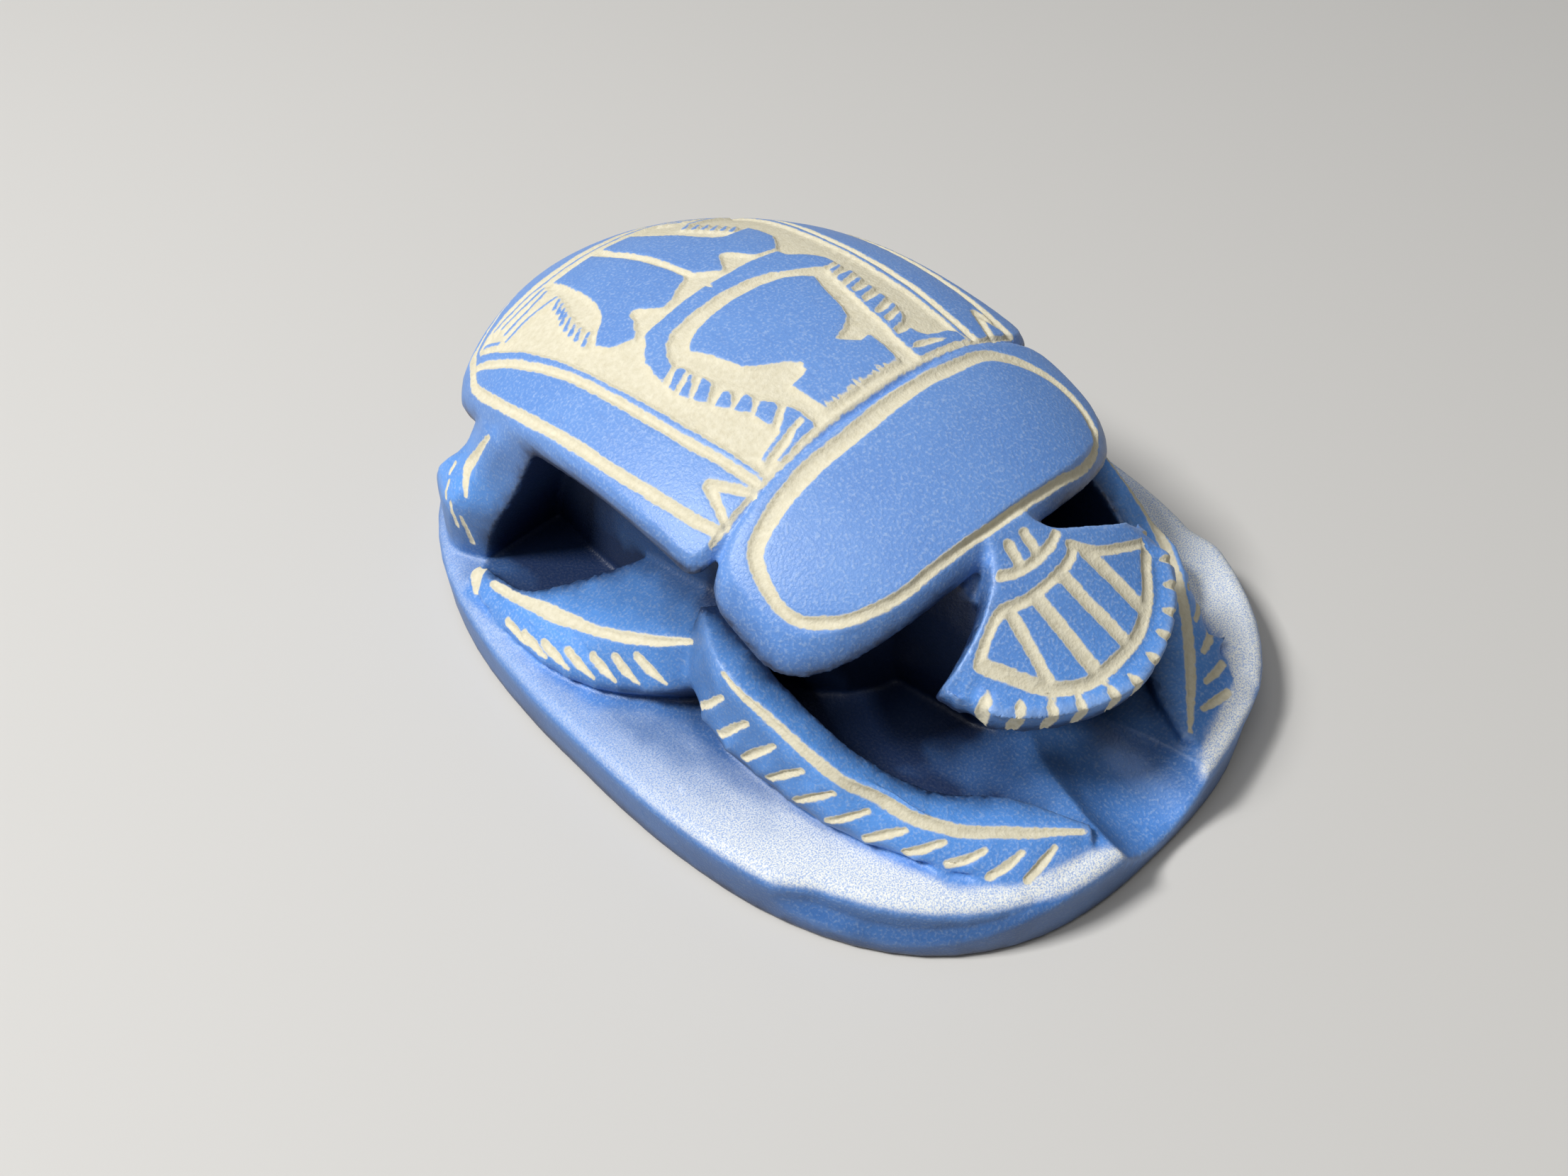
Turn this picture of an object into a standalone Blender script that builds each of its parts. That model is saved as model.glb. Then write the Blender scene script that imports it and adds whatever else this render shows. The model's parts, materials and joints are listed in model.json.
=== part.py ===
"""A scarab amulet carved from one block of soft stone, at its real size.

The beetle looks towards -Y and stands on the flat underside of its oval base, whose middle is the
origin. Places on the carving are shares of the block: x in half widths, y in half lengths and z in
heights, as a carver sets out a figure on a grid. Edges, tool cuts and overlaps keep their own size.
"""

import math

import bmesh
import bpy
from mathutils import Matrix, Vector

# Driving dimensions, in metres
LENGTH = 0.0800  # base, head to tail
WIDTH = 0.0593  # base, side to side
HEIGHT = 0.0304  # underside to the top of the wing cases
RIM_HEIGHT = 0.0060  # side of the base, up to its top face
RIM_ROUNDING = 0.0012  # radius along the base's top edge
FOOT_ROUNDING = 0.0006  # radius along the base's lower edge
FLOOR_FRONT = 0.0026  # what the scoop between the forelegs leaves of the base
SCOOP_RADIUS = 0.0065
WING_EDGE = 0.0019  # thickness of the wing cases' overhanging edge
WING_EDGE_BEHIND = 0.0040  # the same at the tail
WING_CORNER = 0.0016  # radius of their front corners
COLLAR_EDGE = 0.0030  # thickness of the collar plate's edge
WING_ROUNDING = 0.0012
COLLAR_ROUNDING = 0.0022
FAN_THICKNESS = 0.0026  # thickness of the head's fan
FAN_EASING = 0.0004
FAN_DROOP = 0.0032  # how much lower its corners lie than its middle line
UNDERCUT = 0.0026  # how far the cut under a leg's outer edge goes in
NOTCH_RADIUS = 0.0006  # round point of the graver
NOTCH_LENGTH = 0.0045
NOTCH_SLANT = 0.9  # how far the cuts on a leg lean, in steps of its path
SINK = 0.0014  # how far a form reaches into the one that carries it

# Proportions of the beetle
OVAL = 2.64  # squareness of the base's outline: 2 is an ellipse
DOME_WIDTH = 0.926
DOME_LENGTH = 0.898
DOME_MIDDLE_Y = 0.1125
DOME_MIDDLE_Z = 0.413
COLLAR_LINE = -0.155  # where the wing cases meet the collar plate
COLLAR_FRONT = -0.525
PLATE_OVERLAP = 0.01  # how far the two plates reach into each other
PLATE_HALF_WIDTH = 0.665
TAIL = 0.96  # rear end of the wing cases
FAN_SLOPE = 0.64  # fall of the head's fan towards the front
FAN_CORNER = (0.417, -0.631)
FAN_FRONT = -0.852
FAN_ROUNDNESS = 1.7  # squareness of its front: 2 is an ellipse, 1 a straight taper
FAN_NOTCHES = 12
FAN_NOTCH_RUN = (0.08, 0.97)  # the first and the last, as shares of the way along the front edge

# Legs: ridge x, y, z, inner edge's distance and drop, outer edge's distance and height
FORELEG = (
    (0.607, -0.112, 0.559, 0.10, 0.015, 0.067, 0.378),
    (0.708, -0.250, 0.559, 0.12, 0.010, 0.060, 0.330),
    (0.695, -0.400, 0.493, 0.10, 0.010, 0.067, 0.296),
    (0.651, -0.558, 0.401, 0.10, 0.010, 0.070, 0.263),
    (0.543, -0.708, 0.312, 0.108, 0.010, 0.085, 0.240),
    (0.371, -0.825, 0.266, 0.110, 0.010, 0.135, 0.212),
    (0.212, -0.920, 0.237, 0.020, 0.005, 0.060, 0.185),
)
MIDDLE_LEG = (
    (0.600, -0.170, 0.480, 0.13, -0.01, 0.05, 0.360),
    (0.675, -0.080, 0.434, 0.20, -0.03, 0.085, 0.306),
    (0.728, 0.012, 0.395, 0.245, -0.045, 0.120, 0.273),
    (0.769, 0.095, 0.362, 0.275, -0.055, 0.138, 0.257),
    (0.803, 0.208, 0.329, 0.15, -0.03, 0.138, 0.247),
    (0.833, 0.318, 0.296, 0.04, -0.005, 0.105, 0.237),
    (0.847, 0.420, 0.263, 0.03, 0.0, 0.06, 0.224),
    (0.843, 0.520, 0.235, 0.03, 0.0, 0.03, 0.21),
)
# Hind leg, from the base up: height, then the front, the middle and the back of its outer face
REAR_LEG = (
    (0.150, 0.782, 0.550, 0.830, 0.632, 0.769, 0.725),
    (0.296, 0.769, 0.518, 0.820, 0.625, 0.755, 0.745),
    (0.411, 0.745, 0.480, 0.806, 0.600, 0.742, 0.725),
    (0.520, 0.708, 0.438, 0.735, 0.562, 0.670, 0.660),
    (0.740, 0.655, 0.365, 0.655, 0.510, 0.570, 0.620),
)
REAR_LEG_ROOT = 0.36
LEG_STEPS = 3  # cross sections from one station to the next

COLLECTION = "scarab_amulet"
BLUE_STONE = (0.085, 0.165, 0.56, 1.0)


def place(x, y, z):
    """A point of the carving's grid, in metres."""
    return Vector((x * WIDTH / 2, y * LENGTH / 2, z * HEIGHT))


def dome_height(x, y):
    """Height of the domed back over a point of the plan, all in metres."""
    across = x / (DOME_WIDTH * WIDTH / 2)
    along = (y / (LENGTH / 2) - DOME_MIDDLE_Y) / DOME_LENGTH
    left = max(1 - across**2 - along**2, 0.02)
    return HEIGHT * (DOME_MIDDLE_Z + (1 - DOME_MIDDLE_Z) * math.sqrt(left))


def oblong(angle, half_x, half_y, squareness):
    """A point of a rounded oblong round the origin."""
    c, s = math.cos(angle), math.sin(angle)
    size = (abs(c) ** squareness + abs(s) ** squareness) ** (-1 / squareness)
    return Vector((half_x * size * c, half_y * size * s))


def smooth_path(points, steps):
    """Rows of values along a smooth curve through the given rows."""
    ends = [2 * points[0] - points[1], *points, 2 * points[-1] - points[-2]]
    path = []
    for before, start, end, after in zip(ends, ends[1:], ends[2:], ends[3:]):
        for step in range(steps):
            t = step / steps
            bend = (2 * before - 5 * start + 4 * end - after) * t**2
            twist = (3 * start - before - 3 * end + after) * t**3
            path.append(start + ((end - before) * t + bend + twist) / 2)
    path.append(points[-1])
    return path


def add_object(name, bm, target):
    """An object from the faces in bm, each made flat."""
    bmesh.ops.triangulate(bm, faces=bm.faces)
    mesh = bpy.data.meshes.new(name)
    bm.to_mesh(mesh)
    bm.free()
    obj = bpy.data.objects.new(name, mesh)
    target.objects.link(obj)
    return obj


def loft(name, sections, target):
    """A closed solid through sections with equal numbers of points."""
    bm = bmesh.new()
    rows = [[bm.verts.new(point) for point in section] for section in sections]
    for row, following in zip(rows, rows[1:]):
        for i in range(len(row)):
            j = (i + 1) % len(row)
            bm.faces.new((row[i], row[j], following[j], following[i]))
    bm.faces.new(reversed(rows[0]))
    bm.faces.new(rows[-1])
    bmesh.ops.recalc_face_normals(bm, faces=bm.faces)
    return add_object(name, bm, target)


def add_boolean(obj, cutter, operation):
    modifier = obj.modifiers.new(f"{operation.lower()} {cutter.name}", "BOOLEAN")
    modifier.operation = operation
    modifier.solver = "EXACT"
    modifier.object = cutter
    cutter.hide_render = True
    cutter.display_type = "WIRE"


def make_base(target, corners=88):
    """The oval slab, with its top edge rounded over and its lower edge eased."""
    profile = []
    for step in range(3):
        turn = math.pi / 4 * step
        profile.append((FOOT_ROUNDING * (1 - math.sin(turn)), FOOT_ROUNDING * (1 - math.cos(turn))))
    for step in range(5):
        turn = math.pi / 8 * step
        profile.append((RIM_ROUNDING * (1 - math.cos(turn)), RIM_HEIGHT - RIM_ROUNDING * (1 - math.sin(turn))))
    rings = []
    for inset, z in profile:
        ring = []
        for i in range(corners):
            rim = oblong(2 * math.pi * i / corners, WIDTH / 2 - inset, LENGTH / 2 - inset, OVAL)
            ring.append((rim.x, rim.y, z))
        rings.append(ring)
    return loft("scarab", rings, target)


def plate_rings(outline, profile):
    """Rings that follow the dome: profile rows are a share of the outline, an inset and a drop.

    The drop is a length, or a function that gives it for a point of the plan.
    """
    middle = sum(outline, Vector((0, 0))) / len(outline)
    rings = []
    for share, inset, drop in profile:
        ring = []
        for point in outline:
            away = (point - middle) * share
            away -= away.normalized() * inset
            spot = middle + away
            fall = drop(spot) if callable(drop) else drop
            ring.append((spot.x, spot.y, dome_height(spot.x, spot.y) - fall))
        rings.append(ring)
    return rings


def make_plate(name, outline, edge, rounding, target):
    """A plate that follows the dome, with a rounded edge. edge gives its thickness."""
    profile = [(share, 0, edge) for share in (0.2, 0.7)]
    profile.append((1, rounding * 0.4, edge))
    for step in range(5):
        turn = math.pi / 8 * step
        profile.append((1, rounding * (1 - math.cos(turn)), rounding * (1 - math.sin(turn))))
    profile += [(share, 0, 0) for share in (0.83, 0.67, 0.5, 0.33, 0.16)]
    return loft(name, plate_rings(outline, profile), target)


def wing_edge(spot):
    """Thickness of the wing cases' edge, which grows towards the tail."""
    share = min(max(spot.y / (LENGTH / 2) - COLLAR_LINE, 0), 1)
    return WING_EDGE + (WING_EDGE_BEHIND - WING_EDGE) * share


def collar_edge(_spot):
    return COLLAR_EDGE


def run_along(start, end, count):
    """Points from start towards end, which is left for the next run."""
    return [start + (end - start) * step / count for step in range(count)]


def wing_case_outline():
    """The wing cases in plan: straight across the front, straight sides, a rounded tail."""
    half_x = PLATE_HALF_WIDTH * WIDTH / 2
    front = (COLLAR_LINE - PLATE_OVERLAP) * LENGTH / 2
    waist = 0.19 * LENGTH / 2
    points = []
    for step in range(36):
        spot = oblong(math.pi * step / 36, half_x, TAIL * LENGTH / 2 - waist, 3.5)
        points.append(spot + Vector((0, waist)))
    points += run_along(Vector((-half_x, waist)), Vector((-half_x, front + WING_CORNER)), 7)
    for x, first in ((-1, math.pi), (1, 1.5 * math.pi)):
        hub = Vector((x * (half_x - WING_CORNER), front + WING_CORNER))
        for step in range(4):
            turn = first + math.pi / 6 * step
            points.append(hub + Vector((math.cos(turn), math.sin(turn))) * WING_CORNER)
        if x < 0:
            across = run_along(points[-1], Vector((half_x - WING_CORNER, front)), 12)
            points += across[1:]
    points += run_along(points[-1], Vector((half_x, waist)), 7)[1:]
    return points


def collar_outline(corners=48):
    """The collar plate behind the head, in plan: square behind, rounder in front."""
    back = COLLAR_LINE + PLATE_OVERLAP
    waist = back - 0.42 * (back - COLLAR_FRONT)
    points = []
    for i in range(corners):
        angle = 2 * math.pi * i / corners
        if math.sin(angle) < 0:
            spot = oblong(angle, PLATE_HALF_WIDTH, waist - COLLAR_FRONT, 2.5)
        else:
            spot = oblong(angle, PLATE_HALF_WIDTH, back - waist, 5)
        points.append(place(spot.x, spot.y + waist, 0).xy)
    return points


def make_belly(target, corners=40):
    """The core that the wing cases, the collar and the legs stand out from."""
    outline = []
    for i in range(corners):
        spot = oblong(2 * math.pi * i / corners, 0.51, 0.62, 3.2)
        outline.append(place(spot.x, spot.y + 0.23, 0).xy)
    buried = WING_EDGE / 2
    rings = [[(spot.x, spot.y, RIM_HEIGHT - SINK) for spot in outline]]
    rings += plate_rings(outline, [(share, 0, buried) for share in (1, 0.75, 0.5, 0.25)])
    return loft("belly", rings, target)


def make_neck(target, corners=16):
    """The block that carries the head, from inside the belly to under the fan."""
    foot = (RIM_HEIGHT - SINK) / HEIGHT
    sections = []
    for y, half_width, top in ((-0.30, 0.24, 0.70), (-0.50, 0.19, 0.76), (-0.58, 0.17, 0.68), (-0.63, 0.13, 0.60)):
        section = []
        for i in range(corners):
            spot = oblong(2 * math.pi * i / corners, half_width, (top - foot) / 2, 5)
            section.append(place(spot.x, y, (top + foot) / 2 + spot.y))
        sections.append(section)
    return loft("neck", sections, target)


def fan_outline():
    """The head's fan in plan: a narrow neck, hollow sides and a round front."""
    neck, hollow, corner = Vector((0.07, -0.50)), Vector((0.12, -0.615)), Vector(FAN_CORNER)
    side = []
    for step in range(8):
        t = step / 8
        side.append(neck * (1 - t) ** 2 + hollow * 2 * t * (1 - t) + corner * t**2)
    front = [fan_front(-math.pi * step / 24) + Vector((0, corner.y)) for step in range(25)]
    return side + front + [Vector((-spot.x, spot.y)) for spot in reversed(side)]


def fan_front(angle):
    """A point of the fan's round front edge in plan, from the middle between its corners."""
    return oblong(angle, FAN_CORNER[0], FAN_CORNER[1] - FAN_FRONT, FAN_ROUNDNESS)


def fan_point(x, y, depth=0.0):
    """A point on the fan's sloping, arched top, or so deep below it, from shares of the plan."""
    spot = place(x, y, 0.623)
    spot.z += FAN_SLOPE * (y + 0.75) * LENGTH / 2 - FAN_DROOP * (x / FAN_CORNER[0]) ** 2
    return spot - Vector((0, -FAN_SLOPE, 1)).normalized() * depth


def make_fan(target):
    """The fan, with its edges eased."""
    middle = Vector((0, FAN_FRONT + 0.13))
    eased = 1 - FAN_EASING / (0.15 * LENGTH)
    profile = [(share, FAN_THICKNESS) for share in (0.3, 0.7, eased)]
    profile += [(1, FAN_THICKNESS - FAN_EASING), (1, FAN_EASING)]
    profile += [(share, 0) for share in (eased, 0.7, 0.3)]
    sections = []
    for share, depth in profile:
        section = []
        for point in fan_outline():
            spot = middle + (point - middle) * share
            section.append(fan_point(spot.x, spot.y, depth))
        sections.append(section)
    return loft("fan", sections, target)


def leg_direction(path, i):
    """The way out from a leg's ridge, level and square to its run."""
    ahead, behind = path[min(i + 1, len(path) - 1)], path[max(i - 1, 0)]
    along = place(ahead[0] - behind[0], ahead[1] - behind[1], 0).normalized()
    return Vector((abs(along.y), -math.copysign(along.x, along.y * along.x), 0))


def leg_edges(path, step):
    """The ridge and the outer edge of a leg at a step of its path, whole or not."""
    i = min(int(step), len(path) - 2)
    row = path[i].lerp(path[i + 1], step - i)
    ridge = place(row[0], row[1], row[2])
    outer = ridge + leg_direction(path, i) * row[5] * WIDTH / 2
    outer.z = row[6] * HEIGHT
    return ridge, outer


def make_leg(name, stations, side, target):
    """A leg that follows its ridge, with a cut under its outer edge."""
    path = smooth_path([Vector(station) for station in stations], LEG_STEPS)
    foot = RIM_HEIGHT - SINK
    sections = []
    for i, row in enumerate(path):
        out = leg_direction(path, i)
        ridge, outer = leg_edges(path, i)
        inner = ridge - out * row[3] * WIDTH / 2 - Vector((0, 0, row[4] * HEIGHT))
        under = outer - out * min(UNDERCUT, 0.6 * (row[3] + row[5]) * WIDTH / 2)
        under.z = foot
        root = inner.copy()
        root.z = foot
        sections.append([(side * spot.x, spot.y, spot.z) for spot in (inner, ridge, outer, under, root)])
    return loft(name, sections, target)


def make_rear_leg(name, side, target):
    """The hind leg: a pillar from under the wing case out to the base."""
    heights = []
    outlines = []
    for row in smooth_path([Vector(station) for station in REAR_LEG], LEG_STEPS):
        heights.append(row[0])
        front, middle, back = row[1:3], row[3:5], row[5:7]
        outer = smooth_path([Vector(front), Vector(middle), Vector(back)], 3)
        outlines.append([Vector((REAR_LEG_ROOT, front[1])), *outer, Vector((REAR_LEG_ROOT, back[1]))])
    sections = []
    for z, outline in zip(heights, outlines):
        section = [place(side * spot.x, spot.y, z) for spot in outline]
        for spot in section:
            spot.z = min(spot.z, dome_height(spot.x, spot.y) - WING_EDGE / 2)
        sections.append(section)
    return loft(name, sections, target)


def make_scoop(target):
    """What is hollowed out of the base between the forelegs: a round trough falling to the front."""
    back = place(0, -0.66, 0)
    back.z = RIM_HEIGHT + SCOOP_RADIUS
    front = place(0, -1.0, 0)
    front.z = FLOOR_FRONT + SCOOP_RADIUS
    run = front - back
    bm = bmesh.new()
    bmesh.ops.create_cone(
        bm, cap_ends=True, segments=32, radius1=SCOOP_RADIUS, radius2=SCOOP_RADIUS, depth=1.5 * run.length
    )
    turn = run.to_track_quat("Z", "Y").to_matrix().to_4x4()
    bm.transform(Matrix.Translation(back + run * 0.75) @ turn)
    return add_object("scoop", bm, target)


def add_stroke(bm, start, end, segments=4):
    """A straight rod between two points, which a Boolean turns into one stroke of the graver."""
    run = end - start
    turn = run.to_track_quat("Z", "Y").to_matrix().to_4x4()
    bmesh.ops.create_cone(
        bm,
        cap_ends=True,
        segments=segments,
        radius1=NOTCH_RADIUS,
        radius2=NOTCH_RADIUS,
        depth=run.length,
        matrix=Matrix.Translation((start + end) / 2) @ turn,
    )


def make_fan_notches(target):
    """Short cuts over the fan's front edge, evenly spaced along it."""
    rims = [fan_front(math.pi * (step / 96 - 1)) for step in range(97)]
    along = [0]
    for rim, following in zip(rims, rims[1:]):
        along.append(along[-1] + (place(*following, 0) - place(*rim, 0)).length)
    bm = bmesh.new()
    first, last = FAN_NOTCH_RUN
    for i in range(FAN_NOTCHES):
        wanted = (first + (last - first) * i / (FAN_NOTCHES - 1)) * along[-1]
        rim = next(rim for rim, length in zip(rims, along) if length >= wanted)
        edge = fan_point(rim.x, rim.y + FAN_CORNER[1])
        inward = (fan_point(rim.x * 0.8, rim.y * 0.8 + FAN_CORNER[1]) - edge).normalized()
        down = (fan_point(rim.x, rim.y + FAN_CORNER[1], 1) - edge).normalized()
        run = (inward - down).normalized() * NOTCH_LENGTH / 2
        add_stroke(bm, edge - run, edge + run)
    return add_object("fan notches", bm, target)


def make_leg_notches(stations, first, last, count, side, target):
    """Slanting cuts down the outer face of a leg, between two shares of its length."""
    path = smooth_path([Vector(station) for station in stations], LEG_STEPS)
    bm = bmesh.new()
    for i in range(count):
        share = first + (last - first) * i / (count - 1)
        ridge, outer = leg_edges(path, share * (len(path) - 1))
        behind = leg_edges(path, share * (len(path) - 1) - NOTCH_SLANT)[1]
        start, end = ridge.lerp(outer, 0.45), behind
        for spot in (start, end):
            spot.x *= side
        add_stroke(bm, start, end + (end - start) * 0.3)
    return add_object("leg notches", bm, target)


def make_stone():
    """The blue-dyed stone, as a material."""
    stone = bpy.data.materials.new("blue stone")
    stone.use_nodes = True
    shader = stone.node_tree.nodes["Principled BSDF"]
    shader.inputs["Base Color"].default_value = BLUE_STONE
    shader.inputs["Roughness"].default_value = 0.45
    shader.inputs["Metallic"].default_value = 0.0
    return stone


def main():
    for obj in list(bpy.data.objects):
        bpy.data.objects.remove(obj, do_unlink=True)
    parts = bpy.data.collections.new(COLLECTION)
    tools = bpy.data.collections.new("cutters")
    for made in (parts, tools):
        bpy.context.scene.collection.children.link(made)
    scarab = make_base(parts)
    added = [
        make_belly(tools),
        make_plate("wing cases", wing_case_outline(), wing_edge, WING_ROUNDING, tools),
        make_plate("collar", collar_outline(), collar_edge, COLLAR_ROUNDING, tools),
        make_neck(tools),
        make_fan(tools),
    ]
    for side, hand in ((1, "left"), (-1, "right")):
        added.append(make_leg(f"{hand} foreleg", FORELEG, side, tools))
        added.append(make_leg(f"{hand} middle leg", MIDDLE_LEG, side, tools))
        added.append(make_rear_leg(f"{hand} rear leg", side, tools))
    add_boolean(scarab, make_scoop(tools), "DIFFERENCE")
    for form in added:
        add_boolean(scarab, form, "UNION")
    add_boolean(scarab, make_fan_notches(tools), "DIFFERENCE")
    for side in (1, -1):
        for stations, first, last, count in ((FORELEG, 0.16, 0.9, 10), (MIDDLE_LEG, 0.3, 0.82, 7)):
            add_boolean(scarab, make_leg_notches(stations, first, last, count, side, tools), "DIFFERENCE")
    scarab.data.materials.append(make_stone())


main()
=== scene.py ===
"""A scarab amulet carved from one block of soft stone: the looks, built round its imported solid.

The carver shaped the beetle, dyed its surface blue and then cut the ornament through the dye, so that
every stroke lays the cream stone bare. The ornament is drawn here in millimetres: on the back in plan,
x to the beetle's left and y to its tail, and on the legs in space. Each stroke is sunk into a fine copy
of the solid, which also keeps its distance from the nearest edge of a stroke for the stone's colour.
"""

import json
import math

import bpy
import numpy as np
from mathutils import Matrix, Vector, noise
from mathutils.bvhtree import BVHTree
from mathutils.kdtree import KDTree

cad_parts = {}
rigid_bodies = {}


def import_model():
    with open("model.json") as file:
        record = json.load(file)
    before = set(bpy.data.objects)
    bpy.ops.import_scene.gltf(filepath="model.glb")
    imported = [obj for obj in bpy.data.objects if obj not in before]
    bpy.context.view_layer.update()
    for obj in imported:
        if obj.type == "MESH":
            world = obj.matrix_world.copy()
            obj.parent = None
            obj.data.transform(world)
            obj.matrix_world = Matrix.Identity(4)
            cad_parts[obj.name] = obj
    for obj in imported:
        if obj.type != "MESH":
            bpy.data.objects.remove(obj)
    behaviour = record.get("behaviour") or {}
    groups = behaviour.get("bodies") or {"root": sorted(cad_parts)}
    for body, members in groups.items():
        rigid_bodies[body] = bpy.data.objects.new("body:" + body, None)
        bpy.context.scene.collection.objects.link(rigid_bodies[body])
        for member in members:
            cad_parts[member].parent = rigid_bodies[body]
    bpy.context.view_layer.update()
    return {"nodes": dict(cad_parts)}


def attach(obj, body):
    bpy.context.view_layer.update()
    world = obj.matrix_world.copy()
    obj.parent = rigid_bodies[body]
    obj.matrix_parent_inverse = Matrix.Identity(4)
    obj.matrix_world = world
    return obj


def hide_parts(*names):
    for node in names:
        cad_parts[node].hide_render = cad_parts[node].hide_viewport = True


MM = 0.001

# The block and the form of its back, as in the solid
LENGTH, WIDTH, HEIGHT = 80.0, 59.3, 30.4
RIM_HEIGHT = 6.0
DOME_WIDTH, DOME_LENGTH, DOME_MIDDLE_Y, DOME_MIDDLE_Z = 0.926, 0.898, 0.1125, 0.413
COLLAR_LINE = -6.2  # where the wing cases meet the collar plate
FAN_LEVEL, FAN_SLOPE, FAN_DROOP = 18.94, 0.64, 3.2
FAN_CORNER, FAN_FRONT, FAN_ROUNDNESS = (12.36, -25.24), -34.08, 1.7

# The fine copy
GRAIN_OF_MESH = 0.25  # spacing of its points before the flat parts are thinned out
MOST_TRIANGLES = 197000
REACH = 1.5  # distances from a stroke are kept up to here
COARSE_GRAIN = 0.9  # spacing of the copy that shows how shut in each place is
SKY_RAYS, GOLDEN_TURN = 24, 2.4  # rays to the sky from each place, and the turn from one to the next
RAY_START = 0.6  # how far off the stone each ray starts

# Cuts
FIELD_DEPTH, FAN_FIELD_DEPTH = 0.28, 0.2  # of the sunk ground
WALL_RUN = 0.38  # from the edge of a cut to its full depth
MARK_DEPTH = 0.28  # of the lines and the hatching
EDGE_GROOVE_WIDTH, PANEL_LINE_WIDTH, FRONT_LINE_WIDTH, TAIL_STRIPE_WIDTH = 1.1, 0.9, 0.4, 0.34
WAVER = 0.09  # how far the carver's hand strays
RUBBING_DEPTH, GRAIN_DEPTH = 0.035, 0.012  # unevenness of the rubbed stone

# Wing cases: the groove along the edge, then the inner line of the side panel
EDGE_GROOVE = (
    (-16.7, -6.1), (-17.5, -2.0), (-18.0, 2.0), (-18.4, 8.0), (-18.55, 14.0), (-18.6, 18.0), (-18.4, 22.0),
    (-17.8, 26.0), (-16.9, 28.0), (-15.9, 29.6), (-15.0, 31.2), (-13.6, 33.2), (-11.5, 34.7), (-8.5, 35.7),
    (-4.5, 36.3), (0.0, 36.5),
)
PANEL_LINE = (
    (-12.3, -5.8), (-12.8, -2.0), (-13.4, 2.0), (-13.75, 6.0), (-14.0, 10.0), (-14.2, 14.0), (-14.6, 18.0),
    (-15.05, 22.0), (-15.5, 26.0), (-15.8, 28.8),
)
RIGHT_ZIGZAG = ((-15.9, -6.1), (-14.7, -2.8), (-13.0, -6.1))
LEFT_ZIGZAG = ((14.3, -6.1), (16.1, -2.7), (16.9, -6.1))
ZIGZAG_WIDTHS = (0.75, 1.0, 0.85)
FRONT_LINE = ((-17.5, -6.15), (-8.0, -6.0), (0.0, -5.95), (8.0, -6.0), (16.5, -6.25))
FIELD_SIDE = (
    (-11.65, -6.05), (-11.7, -4.5), (-12.05, -1.5), (-12.5, 2.0), (-12.85, 6.0), (-13.2, 10.0),
    (-13.4, 14.0), (-13.65, 18.0), (-13.95, 22.0), (-14.4, 26.0), (-14.55, 28.0), (-14.65, 30.0),
    (-13.9, 31.4), (-10.0, 31.9), (0.0, 32.0),
)

# What is left standing blue in the sunk ground
RIGHT_LOBE = (
    (-6.1, 28.9), (-1.6, 29.0), (-1.5, 26.9), (-1.1, 24.1), (-0.85, 21.3), (-0.72, 18.5), (-0.72, 16.3),
    (-1.1, 15.9), (-2.55, 15.2), (-3.7, 14.4), (-4.8, 14.2), (-5.3, 14.8), (-5.95, 16.0), (-6.5, 16.4),
    (-7.0, 16.05), (-7.5, 14.8), (-8.0, 14.4), (-8.2, 13.8), (-8.8, 13.3), (-9.8, 13.8), (-10.5, 14.4),
    (-10.9, 15.9), (-10.2, 16.75), (-8.95, 17.7), (-8.1, 18.55), (-7.4, 20.2), (-6.8, 22.4), (-6.45, 25.5),
)
LEFT_LOBE = (
    (-0.2, 29.0), (3.0, 28.9), (3.15, 27.4), (3.8, 25.5), (4.7, 23.6), (5.4, 21.3), (6.1, 20.1),
    (7.0, 19.5), (8.1, 19.7), (9.25, 19.9), (10.1, 20.1), (10.3, 18.8), (10.2, 16.9), (9.25, 15.4),
    (8.1, 14.1), (6.0, 14.25), (5.5, 14.9), (4.8, 16.3), (4.25, 16.8), (3.7, 16.7), (3.0, 15.8),
    (2.2, 14.4), (1.85, 14.4), (1.05, 15.2), (0.25, 16.05), (0.15, 18.5), (0.15, 21.3), (-0.05, 24.1),
    (-0.45, 26.9),
)
ARCH = (
    (-10.65, 7.4), (-10.5, 8.5), (-10.1, 9.5), (-10.05, 10.2), (-9.5, 10.95), (-8.65, 11.75), (-8.1, 12.7),
    (-4.2, 13.2), (-0.6, 13.4), (-0.45, 12.85), (-0.25, 12.75), (-0.05, 13.4), (4.1, 13.55), (7.85, 13.55),
    (8.0, 12.4), (9.1, 11.75), (9.95, 10.85), (10.4, 9.95), (10.45, 9.1), (10.0, 8.9), (8.9, 8.75),
    (7.4, 9.45), (6.05, 9.95), (4.65, 10.85), (2.45, 11.4), (-0.9, 11.6), (-3.95, 11.4), (-6.45, 11.0),
    (-7.85, 10.2), (-8.7, 9.1), (-9.1, 8.0), (-9.4, 7.75),
)
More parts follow.
